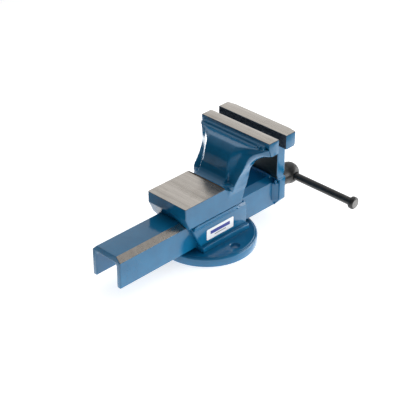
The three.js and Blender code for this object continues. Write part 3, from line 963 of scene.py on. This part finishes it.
def gripColumn(node, at):
    # the toothed face's outline points, one per tooth, from the bottom up
    look = jawBarLook
    low, high = cadBox(node)
    bottom, top = low.z + look["inset"], high.z - look["inset"]
    rows = round((top - bottom) / look["pitch"])
    return [(at, bottom + (top - bottom) * k / rows) for k in range(rows + 1)]


def topEdge(at, top, inward):
    # a soft upper edge, from its side to its top
    edge = jawBarLook["edge"]
    return [(at, top - edge), (at + inward * 0.3 * edge, top - 0.3 * edge), (at + inward * edge, top)]


def makeFixedJawBar():
    # its foot is cut away to seat on the forging
    look = jawBarLook
    low, high = cadBox("fixed_jaw_bar")
    rear, top, bottom, seat, sill = high.y, high.z, low.z, look["seatFront"], look["seatTop"]
    sunk = low.y + look["toothDepth"]
    grip = gripColumn("fixed_jaw_bar", sunk)
    outline = [*topEdge(rear, top, -1), *reversed(topEdge(sunk, top, 1)[1:]), *reversed(grip),
               (sunk + 0.3, bottom + 0.3), (sunk + 1, bottom), (seat, bottom), (seat + 0.8, bottom + 0.6),
               (rear - 0.4, sill), (rear, sill + 1.4)]
    bar = jawBar("fixed_jaw_bar", outline, -1)
    return finishPiece("fixed_jaw_block", bar, "fixed_body", ["fixed_jaw_bar"],
                       jawSurfaces, 30)


def makeMovingJawBar():
    look = jawBarLook
    low, high = cadBox("moving_jaw_bar")
    front, top, bottom, corner = low.y, high.z, low.z, look["corner"]
    sunk = high.y - look["toothDepth"]
    arc = [(front + corner - corner * math.sin(a), bottom + corner - corner * math.cos(a))
           for a in (math.pi / 16 * k for k in range(9))]
    outline = [*topEdge(sunk, top, -1), *reversed(topEdge(front, top, 1)), *reversed(arc),
               (sunk - 1, bottom), (sunk - 0.3, bottom + 0.3), *gripColumn("moving_jaw_bar", sunk)]
    reach, limit = look["cornerReach"], front + corner + 1

    def backCorner(vert):
        # the front side falls away towards both ends
        past = max(0, (abs(vert.co.x) - (high.x - reach)) / reach)
        if vert.co.y < limit:
            vert.co.y += look["cornerDepth"] * past * min(1, (limit - vert.co.y) / corner)

    bar = jawBar("moving_jaw_bar", outline, 1, backCorner)
    return finishPiece("moving_jaw_block", bar, "moving_jaw", ["moving_jaw_bar"],
                       jawSurfaces, 30)


# slide and moving jaw

channelLook = {
    "bevel": 7.7, "leg": 6.7, "web": 8.8, "innerRound": 6, "step": 2.0, "bareFrom": -40, "wave": 0.07,
    "waveLength": 34, "endEdge": 0.6,
}


def makeSlideChannel():
    # bare on its two upper slants behind the jaws
    look = channelLook
    low, high = cadBox("slide_channel")
    x, top, bottom, inner, bevel = high.x, high.z, low.z, high.x - look["leg"], look["bevel"]
    half = [(inner, top - look["web"], look["innerRound"]), (inner, bottom, 1.6), (x, bottom, 1.3),
            (x, top - bevel, 0.5), (x - bevel, top, 0.5)]
    corners = half + [(-u, v, r) for u, v, r in reversed(half)]
    steps = round((high.y - low.y) / look["step"])
    bar = prism("y", roundCorners(corners, 4), low.y, high.y, steps)
    easeEnds(bar, 1, look["endEdge"])
    for face in bar.faces:
        slanted = abs(face.normal.x) > 0.69 and face.normal.z > 0.69
        if slanted and face.calc_center_median().y > look["bareFrom"]:
            face.material_index = 1
    undulate(bar, look["wave"], look["waveLength"], 4)
    return finishPiece("slide_bar", bar, "moving_jaw", ["slide_channel"], painted, 30)


plateLook = {"edge": 1.2, "corner": 2, "cutWidth": 9, "cutHeight": 11, "bore": 11.6, "boreMouth": 12.6}


def makeFrontPlate():
    look = plateLook
    low, high = cadBox("front_plate")
    x, bottom, top, corner = high.x, low.z, high.z, look["corner"]
    half = [(x - look["cutWidth"], bottom, corner), (x, bottom + look["cutHeight"], corner), (x, top, 0.01)]
    corners = half + [(-u, v, r) for u, v, r in reversed(half)]
    plate = softEdges(prism("y", roundCorners(corners, 3), low.y, high.y), look["edge"], 3, 50)
    hole = flaredBore("y", look["bore"], 0.6, low.y, high.y, spindleAxis, mouth=look["boreMouth"])
    plate = boolean(plate, [hole])
    return finishPiece("thrust_plate", plate, "moving_jaw", ["front_plate"], painted)


neckLook = {"voxel": 0.9, "smoothing": 3, "wave": 0.14, "waveLength": 22, "shadeTop": 131}


def makeMovingNeck():
    # below the height given in the look, the rear faces take the throat's painted shade instead of full
    # enamel
    look = neckLook
    neck = forge(cadCopy("moving_neck"), look["voxel"], look["smoothing"])
    undulate(neck, look["wave"], look["waveLength"], 6)
    neck.normal_update()
    for face in neck.faces:
        if face.normal.y > 0.85 and face.calc_center_median().z < look["shadeTop"]:
            face.material_index = 1
    return finishPiece("forged_neck", neck, "moving_jaw", ["moving_neck"],
                       [blueEnamel, throatShade], 60)


markLook = {
    "rows": 3, "columns": 5, "gap": 4.6, "rowGap": 7.5, "slant": 1.2, "fromTail": 12, "fromFoot": 13,
    "height": 3.2, "rise": 0.2, "width": 1.3,
}


def makeSlideMarks():
    # raised dashes rolled into the bar's side near its tail, with every fourth one missing
    look = markLook
    low, high = cadBox("slide_channel")
    marks = bmesh.new()
    for row in range(look["rows"]):
        for column in range(look["columns"]):
            if (row + column) % 4 == 3:
                continue
            y = high.y - look["fromTail"] - look["gap"] * column - look["slant"] * row
            z = low.z + look["fromFoot"] + look["rowGap"] * row
            start = Vector((low.x - 0.02, y, z))
            end = start + Vector((0, 1.0, look["height"] - 0.5 * (column % 3)))
            addInto(marks, weldBead(start, end, (-1, 0, 0), look["width"], look["rise"],
                                    seed=row * 5 + column, ripple=0.0, wobble=0.25))
    return finishPiece("slide_marks", marks, "moving_jaw", [], painted, 60)


# spindle

spindleLook = {
    "pitch": 4.0, "turnSteps": 28, "crown": 9.8, "root": 7.7, "threadStart": -96.5, "tang": 8.8,
    "journalEnd": -98, "relief": 8.2, "tip": 7.4, "edge": 0.8,
}
spindleAxis = placeAcross("y", cadMiddle("spindle_head"))


def threadCore(front, rear):
    # trapezoidal thread as one skewed skin; its run-outs close at the root
    look = spindleLook
    pitch, around, root, crown = look["pitch"], look["turnSteps"], look["root"], look["crown"]
    shape = [(0.0, crown), (0.36, crown), (0.50, root), (0.86, root)]
    turns = math.ceil((rear - front) / pitch) + 2
    bm = bmesh.new()
    rows = []
    for turn in range(turns):
        for part, radius in shape:
            row = []
            for k in range(around + 1):
                angle = 2 * math.pi * k / around
                y = front - pitch + pitch * (turn + part + k / around)
                run = min(1, max(0, (y - front) / 1.5), max(0, (rear - y) / 2.5))
                size = root + (radius - root) * run
                u, v = spindleAxis[0] + size * math.cos(angle), spindleAxis[1] + size * math.sin(angle)
                row.append(bm.verts.new(placeAlong("y", u, v, min(max(y, front), rear))))
            rows.append(row)
    for near, far in zip(rows, rows[1:]):
        for k in range(around):
            bm.faces.new((near[k], near[k + 1], far[k + 1], far[k]))
    bmesh.ops.remove_doubles(bm, verts=bm.verts, dist=0.004)
    bmesh.ops.dissolve_degenerate(bm, dist=0.004, edges=bm.edges)
    bmesh.ops.holes_fill(bm, edges=[edge for edge in bm.edges if edge.is_boundary])
    bmesh.ops.recalc_face_normals(bm, faces=bm.faces)
    return bm


pinLook = {"bore": 2.7, "reach": 22, "edge": 0.5}


def pinBore(node, axis):
    # the cross hole that a pin sits in, a little wider than the pin
    middle = cadMiddle(node)
    at = middle["xyz".index(axis)]
    return rod(axis, pinLook["bore"], at - pinLook["reach"], at + pinLook["reach"], placeAcross(axis, middle))


def makeSpindleScrew():
    look = spindleLook
    low, high = cadBox("spindle_screw")
    headRear = cadBox("spindle_head")[1].y + 0.3
    journal, tang, edge, relief, tip = high.x, look["tang"], look["edge"], look["relief"], look["tip"]
    rear, end = look["journalEnd"], high.y
    shank = lathe("y", [(0, low.y), (tang - edge, low.y), (tang, low.y + edge), (tang, headRear),
                        (journal - 0.3, headRear), (journal, headRear + 0.3), (journal, rear - edge),
                        (journal - edge, rear), (relief, rear), (relief, rear + 3), (0, rear + 3)],
                  spindleAxis, 56)
    point = lathe("y", [(0, end - 4), (tip, end - 4), (tip, end - 1.2), (tip - 1.2, end), (0, end)],
                  spindleAxis, 40)
    thread = threadCore(look["threadStart"], end - 2)
    holes = [pinBore("collar_pin", "x"), pinBore("head_pin", "z")]
    screw = boolean(boolean(thread, [shank, point], "UNION"), holes)
    return finishPiece("threaded_spindle", screw, "spindle", ["spindle_screw"],
                       [threadSteel], 35)


headLook = {
    "neck": 13.5, "neckFront": -153, "nose": 6, "crossBore": 5.8, "boreFlare": 1.0, "tangBore": 9.1,
    "tangFront": -141, "segments": 72,
}


def makeSpindleHead():
    # a ball round the tommy bar, on a neck that takes the screw's tang
    look = headLook
    high = cadBox("spindle_head")[1]
    ball, neck, nose, bore, front = high.x, look["neck"], look["nose"], look["crossBore"], look["neckFront"]
    centre = cadMiddle("handle_bar").y
    start, end = math.asin(neck / ball), math.pi - math.asin(nose / ball)
    arc = [(ball * math.sin(a), centre + ball * math.cos(a))
           for a in (start + (end - start) * k / 30 for k in range(31))]
    waist = [(neck - 1.2, high.y), (neck - 0.3, high.y - 0.3), (neck, high.y - 1.2), (neck, front),
             (neck - 0.1, front - 2)]
    noseEnd = arc[-1][1] - 0.2
    body = lathe("y", [(0, high.y), *waist, *arc[1:], (nose - 1, noseEnd), (0, noseEnd)], spindleAxis,
                 look["segments"])
    reach = math.sqrt(ball ** 2 - bore ** 2)
    crossBore = flaredBore("x", bore, look["boreFlare"], -reach, reach, (centre, spindleAxis[1]),
                           past=20 - reach)
    tangBore = rod("y", look["tangBore"], look["tangFront"], high.y + 1, spindleAxis)
    body = boolean(body, [crossBore, tangBore, pinBore("head_pin", "z")])
    return finishPiece("ball_head", body, "spindle", ["spindle_head"], [blackSteel], 32)


ringLook = {"bore": 11.5, "edge": 0.6, "edgeStep": 0.2, "boreEdge": 0.3}


def makeRing(name, node, cutters=()):
    look = ringLook
    low, high = cadBox(node)
    inner, ease = look["bore"], look["boreEdge"]
    sides = easedSides(high.x, low.y, high.y, look["edge"], look["edgeStep"])
    ring = lathe("y", [(inner + ease, low.y), *sides, (inner + ease, high.y), (inner, high.y - ease),
                       (inner, low.y + ease), (inner + ease, low.y)], spindleAxis)
    if cutters:
        ring = boolean(ring, cutters)
    return finishPiece(name, ring, "spindle", [node], [blackSteel])


def makePin(name, node, axis):
    low, high = cadBox(node)
    start, end = low["xyz".index(axis)], high["xyz".index(axis)]
    sides = easedSides((high.y - low.y) / 2, start, end, pinLook["edge"], 0.3 * pinLook["edge"])
    pin = lathe(axis, [(0, start), *sides, (0, end)], placeAcross(axis, cadMiddle(node)), 32)
    return finishPiece(name, pin, "spindle", [node], [blackSteel])


# handle

handleLook = {"spigot": 4, "edge": 0.4, "knobBore": 4.3, "knobWall": 1.8, "segments": 48}


def makeHandleBar():
    # turned down at both ends to take the knobs
    look = handleLook
    low, high = cadBox("handle_bar")
    radius, spigot, edge = (high.z - low.z) / 2, look["spigot"], look["edge"]
    left, right = cadBox("handle_knob_left")[1].x, cadBox("handle_knob_right")[0].x
    profile = [(0, low.x), (spigot - edge, low.x), (spigot, low.x + edge), (spigot, left),
               (radius - edge, left), (radius, left + edge), (radius, right - edge), (radius - edge, right),
               (spigot, right), (spigot, high.x - edge), (spigot - edge, high.x), (0, high.x)]
    bar = lathe("x", profile, placeAcross("x", cadMiddle("handle_bar")), look["segments"])
    return finishPiece("tommy_bar", bar, "handle", ["handle_bar"], [drawnBlackSteel])


def makeHandleKnob(side, sign):
    # a cap with a bare turned face
    look = handleLook
    low, high = cadBox(f"handle_knob_{side}")
    radius, length, inner = (high.z - low.z) / 2, high.x - low.x, look["knobBore"]
    start, floor = (low.x if sign > 0 else high.x), length - look["knobWall"]
    steps = [(inner, 0), (radius - 0.9, 0), (radius - 0.25, 0.25), (radius, 0.9), (radius, length - 2.1),
             (radius - 0.25, length - 1.6), (radius - 1.9, length - 0.25), (radius - 2.2, length - 0.05),
             (radius - 2.6, length), (0, length), (0, floor), (inner, floor), (inner, 0)]
    slots = [int(point == (0, length)) for point in steps[1:]]
    profile = [(r, start + sign * along) for r, along in steps]
    place = placeAcross("x", cadMiddle(f"handle_knob_{side}"))
    knob = lathe("x", profile, place, look["segments"], slots)
    return finishPiece(f"bar_knob_{side}", knob, "handle", [f"handle_knob_{side}"],
                       [blackSteel, turnedSteel], 30)


# nut, its screws and the label

nutLook = {"corner": 5, "edge": 0.6, "bore": 10, "boreFlare": 1, "screwHole": 5.2}


def makeNut():
    look = nutLook
    low, high = cadBox("spindle_nut")
    x, corner, edge = high.x, look["corner"], look["edge"]
    half = [(x, low.z, edge), (x, high.z - corner, edge), (x - corner, high.z, edge)]
    corners = half + [(-u, v, r) for u, v, r in reversed(half)]
    nut = softEdges(prism("y", roundCorners(corners, 2), low.y, high.y), edge, 2, 60)
    cutters = [flaredBore("y", look["bore"], look["boreFlare"], low.y, high.y, spindleAxis)]
    for side in ("left", "right"):
        screwTop = cadBox(f"nut_screw_{side}")[1].z
        cutters.append(rod("z", look["screwHole"], low.z - 1, screwTop + 0.4, screwPlace(side)))
    nut = boolean(nut, cutters)
    return finishPiece("bronze_nut", nut, "fixed_body", ["spindle_nut"], [nutBronze])


nutScrewLook = {"head": 8, "headTop": 9, "shank": 5, "edge": 0.6, "socket": 4.6, "socketTop": 5}


def makeNutScrew(side):
    # a socket-head screw, head down in the flange
    look = nutScrewLook
    low, high = cadBox(f"nut_screw_{side}")
    head, top, edge = look["head"], look["headTop"], look["edge"]
    shank, socket = look["shank"], look["socket"]
    screw = lathe("z", [(0, low.z), (head - edge, low.z), (head, low.z + edge), (head, top - 0.3),
                        (head - 0.3, top), (shank, top), (shank, high.z - 1), (shank - 1, high.z),
                        (0, high.z)], screwPlace(side), 48)
    hexagon = lathe("z", [(0, low.z - 1), (socket, low.z - 1), (socket, look["socketTop"]),
                          (0, look["socketTop"] + 1.5)], screwPlace(side), 6)
    screw = boolean(screw, [hexagon])
    return finishPiece(f"socket_screw_{side}", screw, "fixed_body", [f"nut_screw_{side}"],
                       [blackSteel])


def makeSideLabel():
    low, high = cadBox("side_label")
    corners = [(y, z, labelLook["corner"]) for y, z in
               ((low.y, low.z), (high.y, low.z), (high.y, high.z), (low.y, high.z))]
    film = prism("x", roundCorners(corners, 6), low.x, high.x)
    return finishPiece("plain_label", film, "fixed_body", ["side_label"], [labelFilm])


# assembly

makeBaseFlange()
makeFootPad()
makeFixedJawBody()
print("flange, tray and forged body made")
for side, sign in (("left", -1), ("right", 1)):
    makeSideWall(side)
    makeSeamWeld(side, sign)
    makePlateWeld(side, sign)
    makeNutScrew(side)
    makeHandleKnob(side, sign)
makeJawWeld()
makeNeckWeld()
makeFrontWeld()
print("side plates and welds made")
makeFixedJawBar()
makeMovingJawBar()
makeSlideChannel()
makeFrontPlate()
makeMovingNeck()
makeSlideMarks()
print("jaws and slide made")
makeSpindleScrew()
makeSpindleHead()
makeRing("thrust_ring", "thrust_washer")
makeRing("stop_collar", "retaining_collar", [pinBore("collar_pin", "x")])
makePin("head_cross_pin", "head_pin", "z")
makePin("collar_cross_pin", "collar_pin", "x")
makeHandleBar()
makeNut()
makeSideLabel()
print("spindle, handle, nut and label made")
for material in scratchMaterials:
    bpy.data.materials.remove(material)


# studio

# metres here, apart from the lens and the camera's target
studio = {
    "floorRadius": 6.0, "floorNear": (0.80, 0.80, 0.80, 1), "floorFar": (0.04, 0.042, 0.045, 1),
    "seenGlow": 0.7, "floorGlow": 1.3, "paleReach": (0.6, 1.2), "litCentre": (0.1, -0.12, 0),
    "litReach": (0.38, 0.54),
    "sideLift": (0.15, 0.4, 1.0, 4.5), "cornerX": (0.06, 0.1), "cornerY": (0.07, 0.11),
    "dark": (0.05, 0.055, 0.06, 1), "bright": (1.15, 1.15, 1.15, 1), "wallSide": (0.53, -0.84, 0.1),
    "wallEdge": (-0.05, 0.75), "ceiling": (0.34, 0.34, 0.34, 1), "ceilingEdge": (0.33, 0.6),
    "azimuth": 224.6, "elevation": 31.15, "distance": 1.81432, "lens": 121.5, "target": (-0.3, 12.9, 68.27),
    "sideBox": {"place": (-1.15, -1.75, 0.46), "size": (2.4, 0.9), "power": 31},
    "topBox": {"place": (0.2, -0.5, 1.9), "size": (1.2, 1.2), "power": 4}, "boxAim": (0, 0, 0.08),
}


def makeFloor():
    # pale paper that glows a little, less at its far end and beside the flange
    look = studio
    bm = bmesh.new()
    bmesh.ops.create_circle(bm, cap_ends=True, segments=96, radius=look["floorRadius"])
    mesh = bpy.data.meshes.new("floor")
    bm.to_mesh(mesh)
    bm.free()
    material, tree, shader = newMaterial("floorPaper", **{
        "Roughness": 0.9, "Specular IOR Level": 0.1, "Emission Color": (1, 1, 1, 1),
    })
    where = addNode(tree, "ShaderNodeTexCoord").outputs["Object"]
    reach = addNode(tree, "ShaderNodeVectorMath", {0: where}, operation="LENGTH").outputs["Value"]
    pale = ramp(tree, reach, *look["paleReach"], 1.0, 0.0)
    span = vectorMaths(tree, "DISTANCE", where, look["litCentre"])["Value"]
    lit = ramp(tree, span, *look["litReach"], 1.0, 0.0)
    place = splitPlace(tree, where)
    lift = ramp(tree, place[0], *look["sideLift"])
    corner = times(tree, ramp(tree, place[0], *look["cornerX"]), ramp(tree, place[1], *look["cornerY"]))
    lit = maths(tree, "SUBTRACT", lit, corner, clamp=True)
    seen = addNode(tree, "ShaderNodeLightPath").outputs["Is Camera Ray"]
    glow = times(tree, lit, lift, look["floorGlow"])
    strength = addNode(tree, "ShaderNodeMix", {0: seen, 2: glow, 3: look["seenGlow"]}).outputs[0]
    tree.links.new(mixColour(tree, pale, look["floorFar"], look["floorNear"]), shader.inputs["Base Color"])
    tree.links.new(strength, shader.inputs["Emission Strength"])
    mesh.materials.append(material)
    floor = bpy.data.objects.new("floor", mesh)
    floor.location.z = -0.0002
    bpy.context.scene.collection.objects.link(floor)


def makeSky():
    # a dark room with one bright wall and a dim ceiling
    world = bpy.data.worlds.new("softStudio")
    world.use_nodes = True
    tree = world.node_tree
    direction = addNode(tree, "ShaderNodeTexCoord").outputs["Generated"]
    facing = vectorMaths(tree, "DOT_PRODUCT", direction, studio["wallSide"])["Value"]
    height = splitPlace(tree, direction)[2]
    room = mixColour(tree, ramp(tree, height, *studio["ceilingEdge"]), studio["dark"], studio["ceiling"])
    colour = mixColour(tree, ramp(tree, facing, *studio["wallEdge"]), room, studio["bright"])
    tree.links.new(colour, tree.nodes["Background"].inputs["Color"])
    bpy.context.scene.world = world


def makeSoftbox(name):
    look = studio[name]
    light = bpy.data.lights.new(name, "AREA")
    light.shape = "RECTANGLE"
    light.size, light.size_y = look["size"]
    light.energy = look["power"]
    lamp = bpy.data.objects.new(name, light)
    lamp.location = look["place"]
    lamp.rotation_euler = (Vector(studio["boxAim"]) - lamp.location).to_track_quat("-Z", "Y").to_euler()
    lamp.visible_camera = False
    bpy.context.scene.collection.objects.link(lamp)


def makeCamera():
    azimuth, elevation = math.radians(studio["azimuth"]), math.radians(studio["elevation"])
    back = Vector((math.sin(azimuth) * math.cos(elevation), -math.cos(azimuth) * math.cos(elevation),
                   math.sin(elevation)))
    camera = bpy.data.objects.new("camera", bpy.data.cameras.new("camera"))
    camera.data.lens = studio["lens"]
    camera.data.sensor_width = 36
    camera.data.clip_end = 50
    camera.location = Vector(studio["target"]) * mm + back * studio["distance"]
    camera.rotation_euler = (-back).to_track_quat("-Z", "Y").to_euler()
    bpy.context.scene.collection.objects.link(camera)
    bpy.context.scene.camera = camera


makeFloor()
makeSky()
makeSoftbox("sideBox")
makeSoftbox("topBox")
makeCamera()
bpy.context.scene.view_settings.view_transform = "Standard"
print("studio made")
